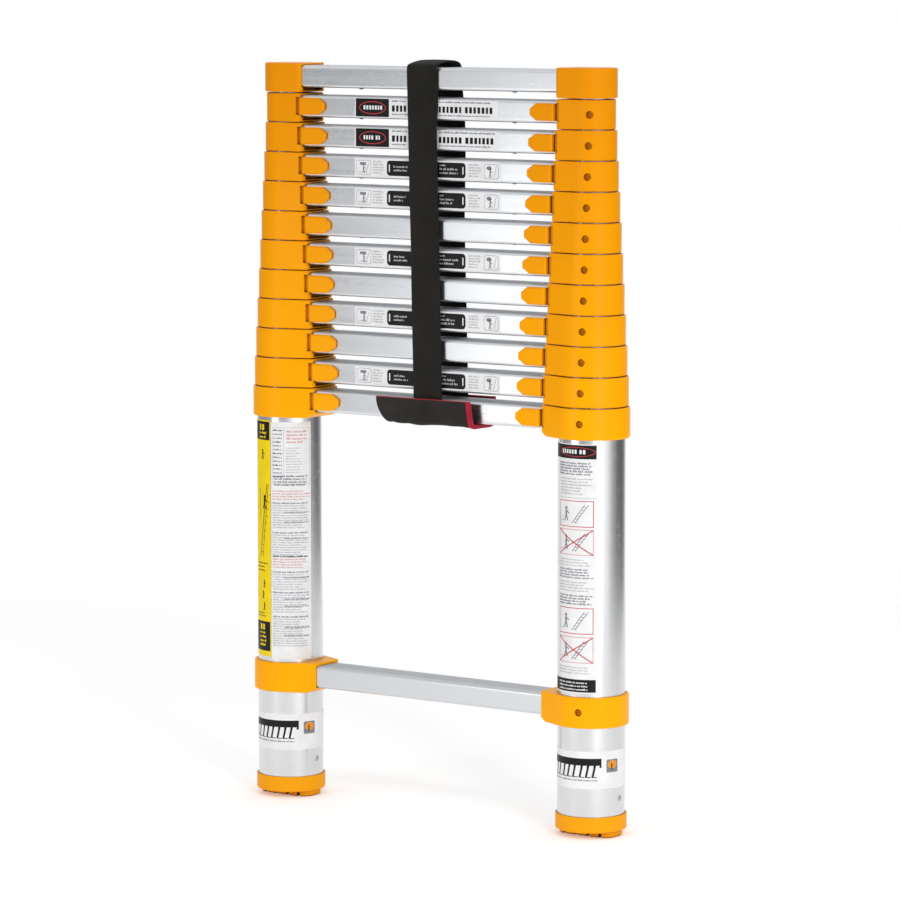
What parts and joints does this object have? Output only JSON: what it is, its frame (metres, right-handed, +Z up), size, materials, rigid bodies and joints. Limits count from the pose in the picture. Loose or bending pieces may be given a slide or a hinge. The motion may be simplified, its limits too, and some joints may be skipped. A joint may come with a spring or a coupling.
{
  "type": "telescoping ladder",
  "caption": "Closed telescoping ladder of nested round aluminium stiles, hollow rungs with thumb releases, clamp collars, feet and a carry strap with a pad.",
  "frame": {"origin": "on the floor, midway between the two feet and under the stile axes", "axes": "+Z up along the stiles, +X along the rungs from the left stile to the right as seen from the front, and the thumb buttons face -Y"},
  "size_m": [0.483, 0.0806, 0.8221],
  "materials": {
    "stile_aluminium": "drawn and clear anodised, satin, fine lengthwise grain",
    "rung_aluminium": "extruded, satin, with a ribbed tread",
    "collar_plastic": "moulded nylon, fine satin texture",
    "button_plastic": "moulded nylon, satin",
    "foot_plastic": "moulded, grooved non-slip tread",
    "strap_webbing": "woven webbing",
    "pad_fabric": "woven cover with a red bound edge"
  },
  "bodies": {
    "base_section": {"base_tubes": "stile_aluminium", "base_collars": "collar_plastic", "base_rungs": "rung_aluminium", "feet": "foot_plastic", "handle_pad": "pad_fabric"},
    "section_02": {"tubes_02": "stile_aluminium", "collars_02": "collar_plastic", "rung_02": "rung_aluminium"},
    "section_03": {"tubes_03": "stile_aluminium", "collars_03": "collar_plastic", "rung_03": "rung_aluminium"},
    "section_04": {"tubes_04": "stile_aluminium", "collars_04": "collar_plastic", "rung_04": "rung_aluminium"},
    "section_05": {"tubes_05": "stile_aluminium", "collars_05": "collar_plastic", "rung_05": "rung_aluminium"},
    "section_06": {"tubes_06": "stile_aluminium", "collars_06": "collar_plastic", "rung_06": "rung_aluminium"},
    "section_07": {"tubes_07": "stile_aluminium", "collars_07": "collar_plastic", "rung_07": "rung_aluminium"},
    "section_08": {"tubes_08": "stile_aluminium", "collars_08": "collar_plastic", "rung_08": "rung_aluminium"},
    "section_09": {"tubes_09": "stile_aluminium", "collars_09": "collar_plastic", "rung_09": "rung_aluminium"},
    "section_10": {"tubes_10": "stile_aluminium", "collars_10": "collar_plastic", "rung_10": "rung_aluminium"},
    "section_11": {"tubes_11": "stile_aluminium", "collars_11": "collar_plastic", "rung_11": "rung_aluminium"},
    "section_12": {"top_frame": "stile_aluminium", "top_caps": "collar_plastic", "carry_strap": "strap_webbing"},
    "release_left_01": {"release_left_01": "button_plastic"},
    "release_right_01": {"release_right_01": "button_plastic"},
    "release_left_02": {"release_left_02": "button_plastic"},
    "release_right_02": {"release_right_02": "button_plastic"},
    "release_left_03": {"release_left_03": "button_plastic"},
    "release_right_03": {"release_right_03": "button_plastic"},
    "release_left_04": {"release_left_04": "button_plastic"},
    "release_right_04": {"release_right_04": "button_plastic"},
    "release_left_05": {"release_left_05": "button_plastic"},
    "release_right_05": {"release_right_05": "button_plastic"},
    "release_left_06": {"release_left_06": "button_plastic"},
    "release_right_06": {"release_right_06": "button_plastic"},
    "release_left_07": {"release_left_07": "button_plastic"},
    "release_right_07": {"release_right_07": "button_plastic"},
    "release_left_08": {"release_left_08": "button_plastic"},
    "release_right_08": {"release_right_08": "button_plastic"},
    "release_left_09": {"release_left_09": "button_plastic"},
    "release_right_09": {"release_right_09": "button_plastic"},
    "release_left_10": {"release_left_10": "button_plastic"},
    "release_right_10": {"release_right_10": "button_plastic"},
    "release_left_11": {"release_left_11": "button_plastic"},
    "release_right_11": {"release_right_11": "button_plastic"}
  },
  "joints": [
    {"name": "slide_02", "type": "slide", "parent": "base_section", "child": "section_02", "axis": [0, 0, 1], "range_m": [0, 0.2726]},
    {"name": "slide_03", "type": "slide", "parent": "section_02", "child": "section_03", "axis": [0, 0, 1], "range_m": [0, 0.2726]},
    {"name": "slide_04", "type": "slide", "parent": "section_03", "child": "section_04", "axis": [0, 0, 1], "range_m": [0, 0.2726]},
    {"name": "slide_05", "type": "slide", "parent": "section_04", "child": "section_05", "axis": [0, 0, 1], "range_m": [0, 0.2726]},
    {"name": "slide_06", "type": "slide", "parent": "section_05", "child": "section_06", "axis": [0, 0, 1], "range_m": [0, 0.2726]},
    {"name": "slide_07", "type": "slide", "parent": "section_06", "child": "section_07", "axis": [0, 0, 1], "range_m": [0, 0.2726]},
    {"name": "slide_08", "type": "slide", "parent": "section_07", "child": "section_08", "axis": [0, 0, 1], "range_m": [0, 0.2726]},
    {"name": "slide_09", "type": "slide", "parent": "section_08", "child": "section_09", "axis": [0, 0, 1], "range_m": [0, 0.2726]},
    {"name": "slide_10", "type": "slide", "parent": "section_09", "child": "section_10", "axis": [0, 0, 1], "range_m": [0, 0.2726]},
    {"name": "slide_11", "type": "slide", "parent": "section_10", "child": "section_11", "axis": [0, 0, 1], "range_m": [0, 0.2726]},
    {"name": "slide_12", "type": "slide", "parent": "section_11", "child": "section_12", "axis": [0, 0, 1], "range_m": [0, 0.2726]},
    {"name": "press_left_01", "type": "slide", "parent": "base_section", "child": "release_left_01", "axis": [1, 0, 0], "range_m": [0, 0.006], "stiffness_N_per_m": 300, "springref_m": -0.004},
    {"name": "press_right_01", "type": "slide", "parent": "base_section", "child": "release_right_01", "axis": [-1, 0, 0], "range_m": [0, 0.006], "stiffness_N_per_m": 300, "springref_m": -0.004},
    {"name": "press_left_02", "type": "slide", "parent": "section_02", "child": "release_left_02", "axis": [1, 0, 0], "range_m": [0, 0.006], "stiffness_N_per_m": 300, "springref_m": -0.004},
    {"name": "press_right_02", "type": "slide", "parent": "section_02", "child": "release_right_02", "axis": [-1, 0, 0], "range_m": [0, 0.006], "stiffness_N_per_m": 300, "springref_m": -0.004},
    {"name": "press_left_03", "type": "slide", "parent": "section_03", "child": "release_left_03", "axis": [1, 0, 0], "range_m": [0, 0.006], "stiffness_N_per_m": 300, "springref_m": -0.004},
    {"name": "press_right_03", "type": "slide", "parent": "section_03", "child": "release_right_03", "axis": [-1, 0, 0], "range_m": [0, 0.006], "stiffness_N_per_m": 300, "springref_m": -0.004},
    {"name": "press_left_04", "type": "slide", "parent": "section_04", "child": "release_left_04", "axis": [1, 0, 0], "range_m": [0, 0.006], "stiffness_N_per_m": 300, "springref_m": -0.004},
    {"name": "press_right_04", "type": "slide", "parent": "section_04", "child": "release_right_04", "axis": [-1, 0, 0], "range_m": [0, 0.006], "stiffness_N_per_m": 300, "springref_m": -0.004},
    {"name": "press_left_05", "type": "slide", "parent": "section_05", "child": "release_left_05", "axis": [1, 0, 0], "range_m": [0, 0.006], "stiffness_N_per_m": 300, "springref_m": -0.004},
    {"name": "press_right_05", "type": "slide", "parent": "section_05", "child": "release_right_05", "axis": [-1, 0, 0], "range_m": [0, 0.006], "stiffness_N_per_m": 300, "springref_m": -0.004},
    {"name": "press_left_06", "type": "slide", "parent": "section_06", "child": "release_left_06", "axis": [1, 0, 0], "range_m": [0, 0.006], "stiffness_N_per_m": 300, "springref_m": -0.004},
    {"name": "press_right_06", "type": "slide", "parent": "section_06", "child": "release_right_06", "axis": [-1, 0, 0], "range_m": [0, 0.006], "stiffness_N_per_m": 300, "springref_m": -0.004},
    {"name": "press_left_07", "type": "slide", "parent": "section_07", "child": "release_left_07", "axis": [1, 0, 0], "range_m": [0, 0.006], "stiffness_N_per_m": 300, "springref_m": -0.004},
    {"name": "press_right_07", "type": "slide", "parent": "section_07", "child": "release_right_07", "axis": [-1, 0, 0], "range_m": [0, 0.006], "stiffness_N_per_m": 300, "springref_m": -0.004},
    {"name": "press_left_08", "type": "slide", "parent": "section_08", "child": "release_left_08", "axis": [1, 0, 0], "range_m": [0, 0.006], "stiffness_N_per_m": 300, "springref_m": -0.004},
    {"name": "press_right_08", "type": "slide", "parent": "section_08", "child": "release_right_08", "axis": [-1, 0, 0], "range_m": [0, 0.006], "stiffness_N_per_m": 300, "springref_m": -0.004},
    {"name": "press_left_09", "type": "slide", "parent": "section_09", "child": "release_left_09", "axis": [1, 0, 0], "range_m": [0, 0.006], "stiffness_N_per_m": 300, "springref_m": -0.004},
    {"name": "press_right_09", "type": "slide", "parent": "section_09", "child": "release_right_09", "axis": [-1, 0, 0], "range_m": [0, 0.006], "stiffness_N_per_m": 300, "springref_m": -0.004},
    {"name": "press_left_10", "type": "slide", "parent": "section_10", "child": "release_left_10", "axis": [1, 0, 0], "range_m": [0, 0.006], "stiffness_N_per_m": 300, "springref_m": -0.004},
    {"name": "press_right_10", "type": "slide", "parent": "section_10", "child": "release_right_10", "axis": [-1, 0, 0], "range_m": [0, 0.006], "stiffness_N_per_m": 300, "springref_m": -0.004},
    {"name": "press_left_11", "type": "slide", "parent": "section_11", "child": "release_left_11", "axis": [1, 0, 0], "range_m": [0, 0.006], "stiffness_N_per_m": 300, "springref_m": -0.004},
    {"name": "press_right_11", "type": "slide", "parent": "section_11", "child": "release_right_11", "axis": [-1, 0, 0], "range_m": [0, 0.006], "stiffness_N_per_m": 300, "springref_m": -0.004}
  ]
}
